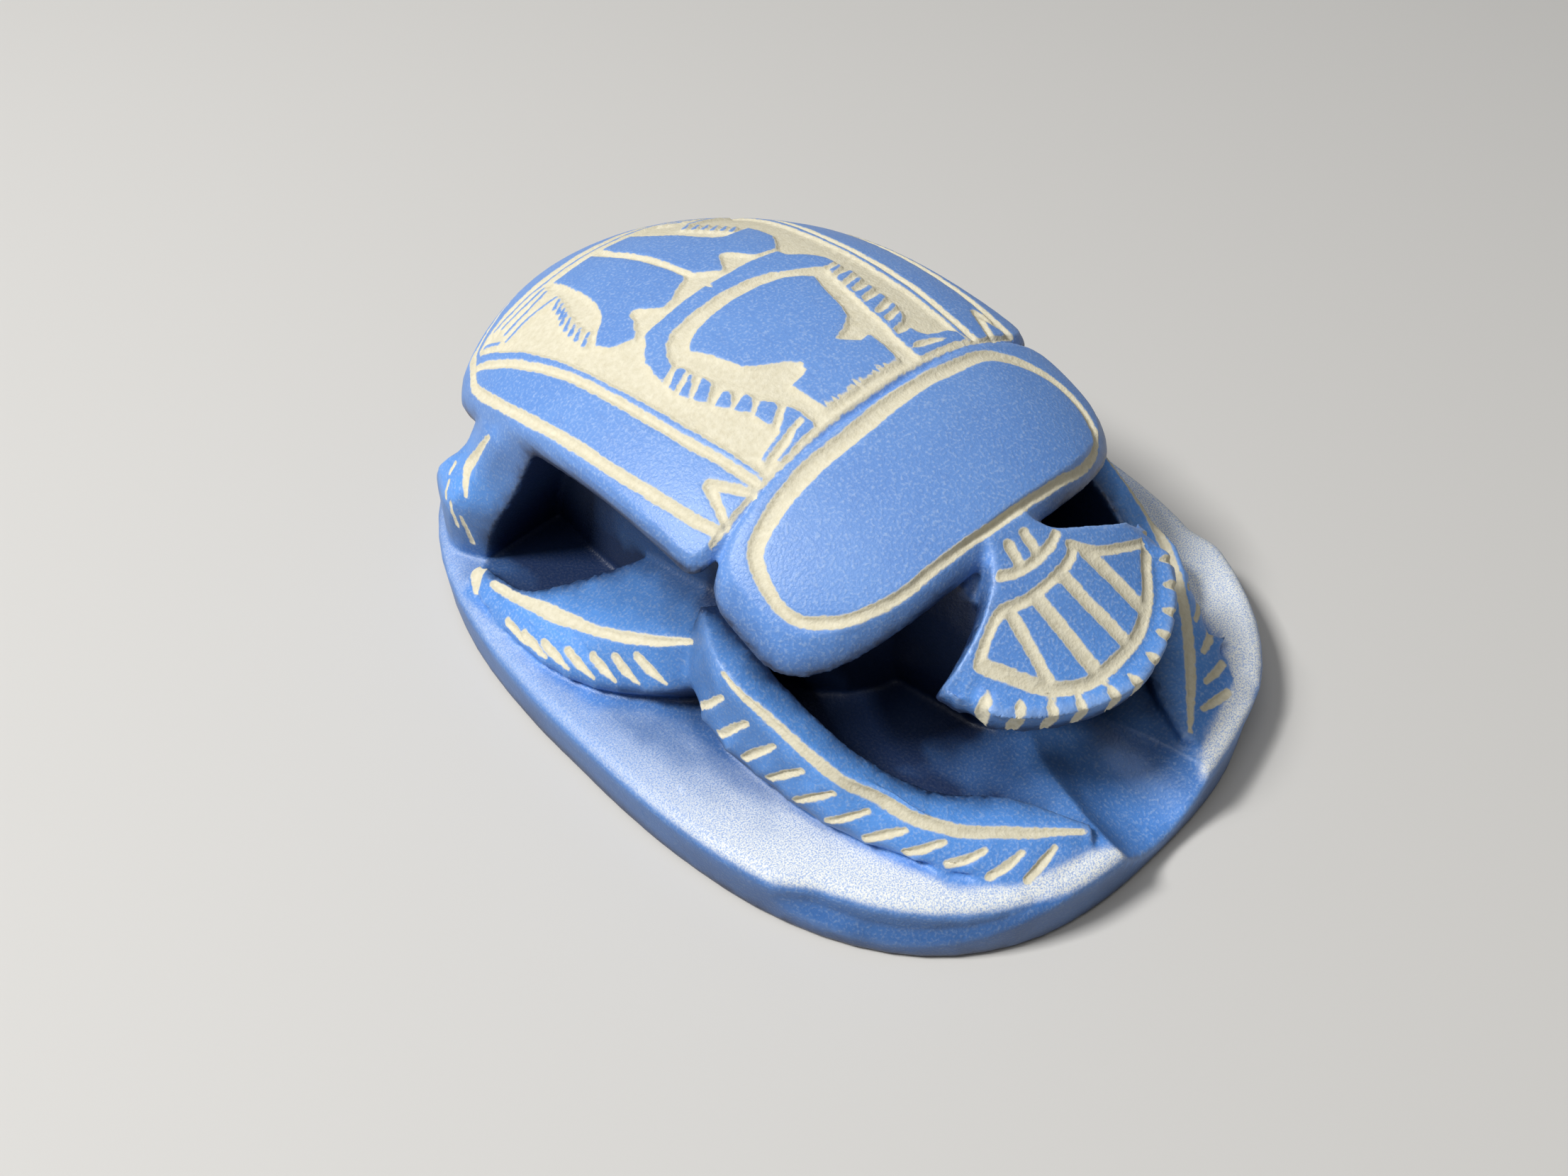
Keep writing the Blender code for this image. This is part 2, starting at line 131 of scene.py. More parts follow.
INNER_FIELD_TOP = (
    (-4.15, -4.3), (-4.2, -2.8), (-4.25, -1.3), (-2.9, -1.2), (-2.3, -0.9), (-1.95, -0.05), (-2.8, 0.9),
    (-3.9, 1.6), (-5.0, 2.5), (-5.5, 3.2), (-5.8, 4.2), (-6.2, 5.6), (-6.7, 7.0), (-7.1, 7.8), (-6.45, 8.6),
    (-5.3, 9.25), (-3.1, 9.75), (-0.3, 9.95), (2.4, 9.8), (4.7, 9.4), (6.05, 8.7), (6.9, 7.9), (6.5, 6.8),
    (6.1, 5.6), (5.7, 4.2), (5.35, 3.0), (4.8, 1.9), (3.85, 1.05), (2.6, 0.5), (1.95, 0.15), (2.7, -0.75),
    (3.4, -1.3), (4.5, -1.15), (4.55, -1.8), (4.5, -2.8), (4.25, -4.3),
)
FRINGE = (-4.05, 4.2, 17)  # from x to x, and how many cream spikes stand along the inner field's front
RIGHT_BLOCKS = (
    ((-10.75, 6.4), (-9.0, 7.4), (-8.8, 7.1), (-8.75, 6.55), (-10.2, 6.0), (-10.75, 5.7)),
    ((-10.7, 5.1), (-10.0, 5.4), (-8.8, 6.0), (-8.9, 5.7), (-9.6, 5.0), (-10.5, 4.2)),
    ((-10.3, 3.8), (-8.5, 4.9), (-8.4, 4.1), (-8.6, 3.7), (-9.9, 2.7), (-10.35, 3.4)),
    ((-9.7, 1.9), (-8.3, 2.4), (-8.0, 2.0), (-8.3, 1.5), (-9.0, 0.75), (-9.5, 1.4)),
    ((-9.0, 0.3), (-7.4, 0.85), (-7.3, 0.3), (-7.6, -0.3), (-8.3, -0.85), (-8.8, -0.3)),
    ((-8.35, -1.35), (-7.1, -0.65), (-6.5, -1.6), (-6.6, -2.0), (-8.1, -2.95), (-8.3, -2.2)),
    ((-6.1, -2.55), (-7.4, -3.4), (-8.2, -4.0), (-10.7, -4.6), (-10.7, -4.9), (-8.2, -4.35), (-6.0, -4.0),
     (-6.0, -4.6), (-7.2, -4.8), (-8.0, -5.2), (-10.0, -5.6), (-9.9, -5.8), (-7.5, -5.5), (-5.9, -5.5),
     (-5.7, -5.1), (-5.8, -3.5)),
)
LEFT_BLOCKS = (
    ((9.0, 8.0), (10.4, 8.4), (10.35, 8.1), (9.6, 7.75), (8.6, 7.3)),
    ((8.35, 6.5), (8.8, 6.75), (10.4, 7.0), (10.45, 6.6), (9.6, 6.3), (8.2, 5.8)),
    ((7.95, 5.05), (9.3, 5.4), (10.3, 5.75), (10.1, 5.3), (9.2, 4.9), (8.1, 4.6), (7.8, 3.8), (8.9, 3.9),
     (10.0, 4.2), (9.9, 3.7), (9.0, 3.4), (7.75, 3.1), (7.5, 2.2), (8.6, 2.4), (9.8, 2.75), (9.75, 2.1),
     (8.9, 1.7), (7.25, 1.0), (7.15, 0.45), (8.3, 0.5), (9.6, 1.0), (9.4, 0.5), (8.5, 0.2), (7.2, -0.1),
     (7.0, -1.0), (8.0, -0.7), (9.2, -0.2), (9.0, -0.6), (8.2, -1.3), (6.75, -1.75), (6.55, -2.5),
     (7.2, -2.55), (8.2, -2.45), (8.3, -3.2), (8.8, -3.8), (9.8, -4.05), (10.8, -4.1), (11.5, -4.6),
     (11.5, -5.6), (11.0, -5.65), (9.5, -5.5), (6.0, -5.5), (6.05, -4.0), (6.3, -2.4), (6.65, -1.3),
     (6.95, 0.5), (7.2, 2.0), (7.5, 3.3)),
)
LEFT_FOOT_SLIT = (
    (6.1, -4.35), (7.0, -4.0), (8.0, -4.05), (9.6, -4.6), (9.9, -4.9), (9.2, -5.0), (7.0, -4.75),
)
# Short blue dashes that edge the cream behind each lobe, and the stripes towards the tail
RIGHT_DASHES = (
    (-8.65, 24.9), (-9.0, 23.9), (-9.4, 22.95), (-9.8, 22.1), (-10.2, 21.0), (-10.5, 19.9), (-10.75, 18.8),
    (-10.85, 17.5),
)
LEFT_DASHES = ((6.9, 25.3), (7.3, 24.3), (7.7, 23.4), (8.1, 22.5), (8.5, 21.6), (8.9, 20.8))
DASH_WIDTHS = (0.45, 0.25)
TAIL_STRIPES = (
    ((-13.3, 26.9), (-10.8, 26.75), (-7.9, 26.05)),
    ((-12.6, 28.1), (-10.0, 28.0), (-7.4, 28.4)),
    ((-12.0, 29.6), (-9.0, 29.3), (-7.0, 29.4)),
    ((-13.6, 27.9), (-13.85, 30.4)),
    ((-12.2, 30.8), (-6.0, 30.4), (0.0, 30.3)),
)

# Collar plate: one loop, as x, y and width, and how much wider than that it is cut
COLLAR_WIDENING = 0.15
COLLAR_LOOP = (
    (-17.1, -12.5, 0.95), (-16.25, -9.8, 1.2), (-14.5, -8.75, 1.35), (-11.0, -8.1, 1.5), (-6.0, -8.0, 1.5),
    (-2.0, -8.0, 1.55), (1.0, -7.75, 1.4), (6.0, -7.75, 1.3), (11.0, -7.85, 1.25), (13.5, -9.0, 1.2),
    (15.0, -10.75, 1.1), (15.9, -12.75, 1.05), (15.9, -15.0, 1.05), (15.0, -17.25, 1.0), (13.5, -19.0, 0.9),
    (11.5, -20.0, 0.85), (8.0, -20.4, 0.8), (0.0, -20.25, 0.85), (-7.0, -19.75, 0.9), (-11.0, -19.2, 0.95),
    (-14.0, -17.75, 0.95), (-16.0, -16.0, 0.9), (-16.9, -14.5, 0.9),
)

# The head's fan: outline, bars and the band across the neck, as paths and widths
FAN_STROKES = (
    (((-8.3, -25.7), (-7.0, -27.7), (-6.0, -29.2), (-4.7, -30.4), (-3.2, -31.3), (-1.7, -31.75),
      (1.0, -31.75), (3.7, -31.4), (6.0, -30.3), (7.7, -29.2), (9.3, -27.7), (11.0, -26.5)), 1.15),
    (((-8.2, -25.5), (-6.4, -24.8), (-4.7, -24.4), (-2.3, -25.0), (0.2, -25.1), (2.7, -24.8),
      (3.6, -24.4)), 0.95),
    (((3.8, -24.0), (4.8, -24.8), (6.0, -25.5), (8.3, -26.1), (11.0, -26.4)), 0.95),
    (((-4.2, -25.0), (-4.9, -29.6)), 1.1),
    (((-1.7, -25.2), (-1.3, -31.2)), 1.35),
    (((1.3, -25.1), (2.4, -31.2)), 1.3),
    (((4.6, -25.0), (5.8, -30.2)), 1.4),
    (((-3.1, -22.8), (-2.0, -23.2), (0.0, -23.45), (2.0, -23.3), (3.3, -22.9)), 0.95),
    (((-0.95, -21.6), (-1.1, -23.0)), 1.1),
    (((0.85, -21.6), (0.75, -23.0)), 1.0),
)
FAN_NOTCHES, FAN_NOTCH_RUN = 12, (0.08, 0.97)
FAN_ASIDE, FAN_EASING = 1.2, 0.9  # off the middle line, and down at the rim
# A notch's path goes round the rim 1 mm away from it: shares of the way out, and millimetres up
FAN_NOTCH_PROFILE = ((0.9, 1.0), (0.95, 1.0), (1.0, 0.9), (1.07, 0.2), (1.09, -0.7), (1.09, -1.6))
FAN_NOTCH_WIDTHS = (0.4, 0.95, 1.2, 1.2, 1.05, 0.5)

# Legs, as in the solid: ridge x, y, z, inner edge's distance and drop, outer edge's distance and height
FORELEG = (
    (0.607, -0.112, 0.559, 0.10, 0.015, 0.067, 0.378),
    (0.708, -0.250, 0.559, 0.12, 0.010, 0.060, 0.330),
    (0.695, -0.400, 0.493, 0.10, 0.010, 0.067, 0.296),
    (0.651, -0.558, 0.401, 0.10, 0.010, 0.070, 0.263),
    (0.543, -0.708, 0.312, 0.108, 0.010, 0.085, 0.240),
    (0.371, -0.825, 0.266, 0.110, 0.010, 0.135, 0.212),
    (0.212, -0.920, 0.237, 0.020, 0.005, 0.060, 0.185),
)
MIDDLE_LEG = (
    (0.600, -0.170, 0.480, 0.13, -0.01, 0.05, 0.360),
    (0.675, -0.080, 0.434, 0.20, -0.03, 0.085, 0.306),
    (0.728, 0.012, 0.395, 0.245, -0.045, 0.120, 0.273),
    (0.769, 0.095, 0.362, 0.275, -0.055, 0.138, 0.257),
    (0.803, 0.208, 0.329, 0.15, -0.03, 0.138, 0.247),
    (0.833, 0.318, 0.296, 0.04, -0.005, 0.105, 0.237),
    (0.847, 0.420, 0.263, 0.03, 0.0, 0.06, 0.224),
    (0.843, 0.520, 0.235, 0.03, 0.0, 0.03, 0.21),
)
LEG_STEPS = 3
# Line along each ridge: first and last step of the leg's path, then widths on the way
FORELEG_LINE = (3.4, 17.7, (0.6, 1.0, 1.1, 1.1, 1.15, 1.0, 0.5))
MIDDLE_LEG_LINE = (1.3, 18.3, (0.4, 1.0, 1.05, 1.0, 1.6, 1.1, 0.9))
# Hatching: count, step and share of the way to the outer edge where the first and the last begin,
# then how many steps nearer the body each ends, and at which share
FORELEG_HATCH = (11, (3.6, 0.36), (16.4, 0.4), 1.2, 0.92)
MIDDLE_LEG_HATCH = (7, (5.4, 0.34), (15.4, 0.76), 2.2, 0.86)
FORELEG_HATCH_WIDTH = (0.6, 0.85, 0.8)
MIDDLE_LEG_HATCH_WIDTH = (0.85, 0.95, 0.35)
# The solid's own notches on the legs: first and last share of the leg's path, and count
FORELEG_NOTCHES, MIDDLE_LEG_NOTCHES = (0.16, 0.9, 10), (0.3, 0.82, 7)
# The share of the way out where each begins, its steps nearer the body at the outer edge, and how far
# past that edge it runs on
NOTCH_BEGIN, NOTCH_LEAN, NOTCH_OVERRUN = 0.45, 0.9, 0.3
FAN_NOTCH_FILLING = 1.6  # width that is filled over each of the solid's notches on the fan
FILLING_ROUNDS = 60
# Marks on the right hind leg, in space: a leaf, short hatching and the chipped foot
HIND_LEG_MARKS = (
    (((-20.2, 21.0, 20.1), (-20.7, 22.4, 18.0), (-21.5, 23.9, 15.6), (-22.9, 22.6, 13.6)),
     (0.6, 1.1, 1.8, 0.4)),
    (((-21.6, 26.5, 14.4), (-22.0, 26.2, 13.2)), 0.5),
    (((-22.9, 25.8, 13.3), (-23.4, 25.3, 12.0)), 0.5),
    (((-23.8, 24.3, 12.2), (-24.2, 23.8, 9.8)), 0.55),
    (((-23.9, 23.0, 11.2), (-24.0, 22.4, 8.0)), 0.55),
    (((-26.2, 18.9, 6.6), (-25.1, 19.8, 6.8), (-24.3, 20.3, 6.7)), (1.3, 1.8, 1.4)),
)
# Half of the base's top that the feet of the legs stand on; outside it the stone is rough
FEET = (
    (27.0, 20.0), (27.0, 13.9), (27.2, 6.6), (26.3, 0.9), (23.2, -2.7), (21.9, -6.3), (21.8, -10.3),
    (20.9, -14.2), (21.1, -19.0), (19.9, -24.2), (18.6, -28.0), (17.0, -32.3), (13.5, -35.5), (7.0, -37.5),
    (4.0, -39.5), (0.0, -39.5), (0.0, 20.0),
)

# Camera, fitted to the photograph: degrees, and millimetres from the origin
AZIMUTH, ELEVATION, ROLL = -40.94, 48.78, -2.83
CAMERA_PLACE = (-61.817, -65.426, 103.894)
LENS = 32.55


def colour(code):
    """A linear colour from an sRGB hex code."""
    parts = [int(code[i : i + 2], 16) / 255 for i in (0, 2, 4)]
    return [p / 12.92 if p <= 0.04045 else ((p + 0.055) / 1.055) ** 2.4 for p in parts] + [1.0]


def smooth_path(points, steps, closed=False):
    """Rows of values along a smooth curve through the given rows."""
    points = np.asarray(points, float)
    if closed:
        ends = np.vstack([points[-1:], points, points[:2]])
    else:
        ends = np.vstack([2 * points[0] - points[1], points, 2 * points[-1] - points[-2]])
    path = []
    for before, start, end, after in zip(ends, ends[1:], ends[2:], ends[3:]):
        for step in range(steps):
            t = step / steps
            bend = (2 * before - 5 * start + 4 * end - after) * t**2
            twist = (3 * start - before - 3 * end + after) * t**3
            path.append(start + ((end - before) * t + bend + twist) / 2)
    path.append(points[0] if closed else points[-1])
    return np.array(path)


def mirrored(path):
    """The same path on the beetle's other side."""
    return [(-row[0], *row[1:]) for row in path]


def near_to(points, path):
    """Which points lie within reach of a path, by its box."""
    inside = (points > path.min(0) - REACH) & (points < path.max(0) + REACH)
    return np.flatnonzero(inside.all(1))


def stroke(points, path, width):
    """Distance of each point from the edge of a stroke of the graver, below zero inside it."""
    path = np.asarray(path, float)
    half = np.broadcast_to(np.asarray(width, float) / 2, len(path))
    distance = np.full(len(points), REACH)
    near = near_to(points, path)
    spots = points[near]
    best = distance[near]
    for start, end, wide, wide_end in zip(path, path[1:], half, half[1:]):
        run = end - start
        share = np.clip((spots - start) @ run / (run @ run), 0, 1)
        gap = np.linalg.norm(spots - start - share[:, None] * run, axis=1)
        best = np.minimum(best, gap - wide - (wide_end - wide) * share)
    distance[near] = best
    return distance


def shape(points, outline):
    """Distance of each point from the outline of a flat shape, below zero inside it."""
    outline = np.asarray(outline, float)
    distance = np.full(len(points), REACH)
    near = near_to(points, outline)
    spots = points[near]
    best = np.full(len(near), REACH)
    inside = np.zeros(len(near), bool)
    for start, end in zip(outline, np.roll(outline, -1, 0)):
        run = end - start
        share = np.clip((spots - start) @ run / (run @ run), 0, 1)
        best = np.minimum(best, np.linalg.norm(spots - start - share[:, None] * run, axis=1))
        crosses = (start[1] > spots[:, 1]) != (end[1] > spots[:, 1])
        level = start[0] + (spots[:, 1] - start[1]) * run[0] / (run[1] or 1e-9)
        inside ^= crosses & (spots[:, 0] < level)
    best[inside] *= -1
    distance[near] = best
    return distance


def inner_field():
    """The blue field inside the arch, with the fringe of spikes along its front."""
    start, end, spikes = FRINGE
    front = []
    for i in range(2 * spikes + 1):
        x = end + (start - end) * i / (2 * spikes)
        front.append((x + 0.12 * math.sin(7.1 * i), -4.85 + (0.55 + 0.22 * math.sin(3.7 * i)) * (i % 2)))
    return [*INNER_FIELD_TOP, *front]


def wing_ornament(points):
    """Distance from the cream of the wing cases, in plan."""
    lines = [stroke(points, smooth_path(FRONT_LINE, 4), FRONT_LINE_WIDTH)]
    for side in (list, mirrored):
        lines.append(stroke(points, smooth_path(side(PANEL_LINE), 4), PANEL_LINE_WIDTH))
    for zigzag in (RIGHT_ZIGZAG, LEFT_ZIGZAG):
        lines.append(stroke(points, zigzag, ZIGZAG_WIDTHS))
    blue = [shape(points, outline) for outline in (RIGHT_LOBE, LEFT_LOBE, ARCH, inner_field())]
    blue += [shape(points, block) for block in (*RIGHT_BLOCKS, *LEFT_BLOCKS)]
    for x, y in RIGHT_DASHES + LEFT_DASHES:
        blue.append(stroke(points, ((x - 0.55, y - 0.4), (x + 0.6, y + 0.4)), DASH_WIDTHS))
    for side in (list, mirrored):
        blue += [stroke(points, smooth_path(side(stripe), 4), TAIL_STRIPE_WIDTH) for stripe in TAIL_STRIPES]
    ground = shape(points, [*FIELD_SIDE, *reversed(mirrored(FIELD_SIDE[:-1]))])
    ground = np.maximum(ground, -np.min(blue, axis=0))
    ground = np.minimum(ground, shape(points, LEFT_FOOT_SLIT))
    return np.minimum(ground, np.min(lines, axis=0))


def edge_lines():
    """The grooves near the edges of the wing cases and round the collar, in space, with widths."""
    cuts = []
    for side in (list, mirrored):
        path = smooth_path(side(EDGE_GROOVE), 5)
        cuts.append((on_dome(path), np.full(len(path), EDGE_GROOVE_WIDTH)))
    loop = smooth_path(COLLAR_LOOP, 5, closed=True)
    cuts.append((on_dome(loop[:, :2]), loop[:, 2] + COLLAR_WIDENING))
    return cuts


def on_dome(path):
    """Points of the plan lifted to the domed back."""
    return np.column_stack([path, dome_height(path[:, 0], path[:, 1])])


def fan_ornament(points):
    """Distance from the cream of the fan, measured along its slope."""
    slope = np.array([1, math.hypot(1, FAN_SLOPE)])
    cuts = []
    for path, width in FAN_STROKES:
        smoothed = smooth_path(path, 4)
        cuts.append(stroke(points * slope, smoothed * slope, width))
    return np.min(cuts, axis=0)


def dome_height(x, y):
    """Height of the domed back over points of the plan."""
    across = x / (DOME_WIDTH * WIDTH / 2)
    along = (y / (LENGTH / 2) - DOME_MIDDLE_Y) / DOME_LENGTH
    rise = np.sqrt(np.maximum(1 - across**2 - along**2, 0.02))
    return HEIGHT * (DOME_MIDDLE_Z + (1 - DOME_MIDDLE_Z) * rise)


def ease(low, high, values):
    """A soft step from 0 at low to 1 at high."""
    t = np.clip((values - low) / (high - low), 0, 1)
    return t * t * (3 - 2 * t)


def fan_share(x, y):
    """How far out on the fan's front points of the plan are: 1 at its rim."""
    half_x, back = FAN_CORNER
    forward = np.maximum(back - y, 0) / (back - FAN_FRONT)
    return ((abs(x) / half_x) ** FAN_ROUNDNESS + forward**FAN_ROUNDNESS) ** (1 / FAN_ROUNDNESS)


def fan_height(x, y):
    """Height of the fan's sloping, arched top over points of the plan, eased down at its rim."""
    arch = FAN_LEVEL + FAN_SLOPE * (y + 30) - FAN_DROOP * (x / FAN_CORNER[0]) ** 2
    return arch - FAN_EASING * ease(0.86, 1.02, fan_share(x, y))


def leg_lines(stations):
    """The ridge and the outer edge of a leg, in space."""
    path = smooth_path(stations, LEG_STEPS)
    ridge = path[:, :3] * (WIDTH / 2, LENGTH / 2, HEIGHT)
    along = np.gradient(ridge[:, :2], axis=0)
    along /= np.linalg.norm(along, axis=1)[:, None]
    out = np.column_stack([abs(along[:, 1]), -np.copysign(along[:, 0], along[:, 1] * along[:, 0])])
    outer = np.column_stack([ridge[:, :2] + out * path[:, 5:6] * WIDTH / 2, path[:, 6] * HEIGHT])
    return ridge, outer


def at_step(line, step):
    """A point of a line at a step, whole or not."""
    steps = np.arange(len(line))
    return np.array([np.interp(step, steps, line[:, i]) for i in range(line.shape[1])])


def on_leg(lines, step, share):
    """A point on a leg's outer face, from a step of its path and a share of the way out."""
    ridge, outer = (at_step(line, step) for line in lines)
    return ridge + (outer - ridge) * share


def leg_marks():
    """The line along each ridge, the hatching below it and the marks on the hind legs, with widths."""
    cuts = []
    for stations, (first, last, widths), hatch, hatch_width in (
        (FORELEG, FORELEG_LINE, FORELEG_HATCH, FORELEG_HATCH_WIDTH),
        (MIDDLE_LEG, MIDDLE_LEG_LINE, MIDDLE_LEG_HATCH, MIDDLE_LEG_HATCH_WIDTH),
    ):
        lines = leg_lines(stations)
        count, begin, end, nearer, outer_share = hatch
        steps = np.linspace(first, last, 25)
        line_width = np.interp(steps, np.linspace(first, last, len(widths)), widths)
        cuts.append(([on_leg(lines, step, 0.05) for step in steps], line_width))
        for step, share in np.linspace(begin, end, count):
            path = []
            for t in (0, 0.5, 1):
                path.append(on_leg(lines, step - nearer * t, share + (outer_share - share) * t))
            cuts.append((path, hatch_width))
    for path, widths in HIND_LEG_MARKS:
        cuts.append((np.array(path), widths))
    return cuts + [([point * (-1, 1, 1) for point in path], width) for path, width in cuts]


def solid_notches():
    """Paths of the solid's own notches on the legs."""
    cuts = []
    for stations, run in ((FORELEG, FORELEG_NOTCHES), (MIDDLE_LEG, MIDDLE_LEG_NOTCHES)):
        lines = leg_lines(stations)
        whole = len(lines[0]) - 1
        for share in np.linspace(*run):
            start = on_leg(lines, share * whole, NOTCH_BEGIN)
            end = on_leg(lines, share * whole - NOTCH_LEAN, 1)
            cuts.append([start, end + (end - start) * NOTCH_OVERRUN])
    return cuts + [[point * (-1, 1, 1) for point in path] for path in cuts]


def fan_notches():
    """Paths of the short cuts over the fan's front edge, in space."""
    half_x, back = FAN_CORNER
    angle = math.pi * (np.linspace(0, 1, 97) - 1)
    c, s = np.cos(angle), np.sin(angle)
    size = (abs(c) ** FAN_ROUNDNESS + abs(s) ** FAN_ROUNDNESS) ** (-1 / FAN_ROUNDNESS)
    rim = np.column_stack([half_x * size * c, (back - FAN_FRONT) * size * s])
    along = np.concatenate([[0], np.cumsum(np.linalg.norm(np.diff(rim, axis=0), axis=1))])
    cuts = []
    for share in np.linspace(*FAN_NOTCH_RUN, FAN_NOTCHES):
        x, y = rim[np.searchsorted(along, share * along[-1])]
        top = fan_height(x, y + back)
        # How much the top would rise from the rim to the middle, by its last tenth
        inner_rise = (fan_height(x * 0.9, y * 0.9 + back) - top) * 10
        path = [(x * k, y * k + back, top + max(1 - k, 0) * inner_rise + up) for k, up in FAN_NOTCH_PROFILE]
        cuts.append((path, FAN_NOTCH_WIDTHS))
    return [(np.array(path) + (FAN_ASIDE, 0, 0), widths) for path, widths in cuts]


def fine_copy(node):
    """A close-meshed copy of the solid, with its facets smoothed away."""
    made = bpy.data.objects.new("carved_scarab", node.data.copy())
    bpy.context.scene.collection.objects.link(made)
    remesh = made.modifiers.new("even grain", "REMESH")
    remesh.mode = "VOXEL"
    remesh.voxel_size = GRAIN_OF_MESH * MM
    rounding = made.modifiers.new("worn facets", "SMOOTH")
    rounding.factor = 0.5
    rounding.iterations = 6
    bake(made)
    return made


def bake(made):
    """Takes an object's modifiers into its mesh."""
    graph = bpy.context.evaluated_depsgraph_get()
    mesh = bpy.data.meshes.new_from_object(made.evaluated_get(graph))
    made.modifiers.clear()
    made.data = mesh


def read_points(mesh, what):
    """Places or normals of a mesh's points."""
    values = np.empty(len(mesh.vertices) * 3, np.float32)
    mesh.vertices.foreach_get(what, values)
    return values.reshape(-1, 3).astype(float)


def drift(points, size, seed=0.0):
    """Soft noise over points, its lumps so many millimetres wide."""
    offset = Vector((seed, seed * 0.7, -seed))
    return np.array([noise.noise(Vector(point) / size + offset) for point in points])


def true_forms(points, normals):
    """Points of the back and the fan moved onto the smooth forms that the solid's facets follow."""
    x, y = points[:, 0], points[:, 1]
    fan_gap = fan_height(x, y) - points[:, 2]
    on_fan = ease(-22.0, -23.5, y) * (1 - ease(1.1, 1.4, abs(fan_gap))) * ease(0.4, 0.6, normals[:, 2])
    back_gap = dome_height(x, y) - points[:, 2]
    on_back = (1 - ease(0.12, 0.32, abs(back_gap))) * ease(0.2, 0.45, normals[:, 2])
    points[:, 2] += fan_gap * on_fan + back_gap * on_back * (1 - on_fan)
    return points


def true_fan_rim(points, normals):
    """Points of the wall under the fan's front rim moved onto its smooth curve."""
    x, y = points[:, 0], points[:, 1]
    back = FAN_CORNER[1]
    gap = fan_height(x, y) - points[:, 2]
    lean = FAN_SLOPE / (1 + FAN_SLOPE**2) * gap * 0.5
    out = np.column_stack([x, y - lean - back])
    out /= np.linalg.norm(out, axis=1)[:, None]
    share = fan_share(x, y - lean)
    on_wall = ease(0.05, 0.4, (out * normals[:, :2]).sum(1)) * ease(-1.0, -3.0, y - back)
    on_wall *= ease(-1.2, -0.6, gap) * (1 - ease(3.0, 3.6, gap)) * (1 - ease(0.12, 0.18, abs(share - 1)))
    wanted = np.column_stack([x / share, (y - lean - back) / share + back + lean])
    points[:, :2] += (wanted - points[:, :2]) * on_wall[:, None]
    return points


def set_fan_aside(points):
    """The fan sits a little to the beetle's left of the middle, as it was carved."""
    gap = fan_height(points[:, 0], points[:, 1]) - points[:, 2]
    share = ease(-21.5, -25.5, points[:, 1]) * (1 - ease(3.4, 5.0, gap)) * ease(-2.0, -1.0, gap)
    points[:, 0] += FAN_ASIDE * share
    return points


def hollowness(made, points):
    """How shut in each point is, from rays cast on a coarse copy: 0 in the open, 1 deep in a hollow."""
    coarse = made.copy()
    coarse.data = made.data.copy()
    bpy.context.scene.collection.objects.link(coarse)
    thinning = coarse.modifiers.new("coarse", "REMESH")
    thinning.mode = "VOXEL"
    thinning.voxel_size = COARSE_GRAIN * MM
    bake(coarse)
    spots = read_points(coarse.data, "co") / MM
    outward = read_points(coarse.data, "normal")
    tree = BVHTree.FromPolygons(spots.tolist(), [tuple(face.vertices) for face in coarse.data.polygons])
    bpy.data.objects.remove(coarse)
    turns = np.arange(SKY_RAYS)
    rise = 1 - (turns + 0.5) / SKY_RAYS
    flat = np.sqrt(1 - rise**2)
    sky = np.column_stack([flat * np.cos(GOLDEN_TURN * turns), flat * np.sin(GOLDEN_TURN * turns), rise])
    shut = np.zeros(len(spots))
    for i, (spot, way) in enumerate(zip(spots, outward)):
        start = Vector(spot + RAY_START * way)
        for ray in sky:
            if ray @ way < 0.1 or tree.ray_cast(start, Vector(ray), LENGTH / 2)[0] is not None:
                shut[i] += 1 / SKY_RAYS
    around = KDTree(len(spots))
    for i, spot in enumerate(spots):
        around.insert(spot, i)
    around.balance()
    return np.array([np.mean([shut[i] for _, i, _ in around.find_n(point, 3)]) for point in points])


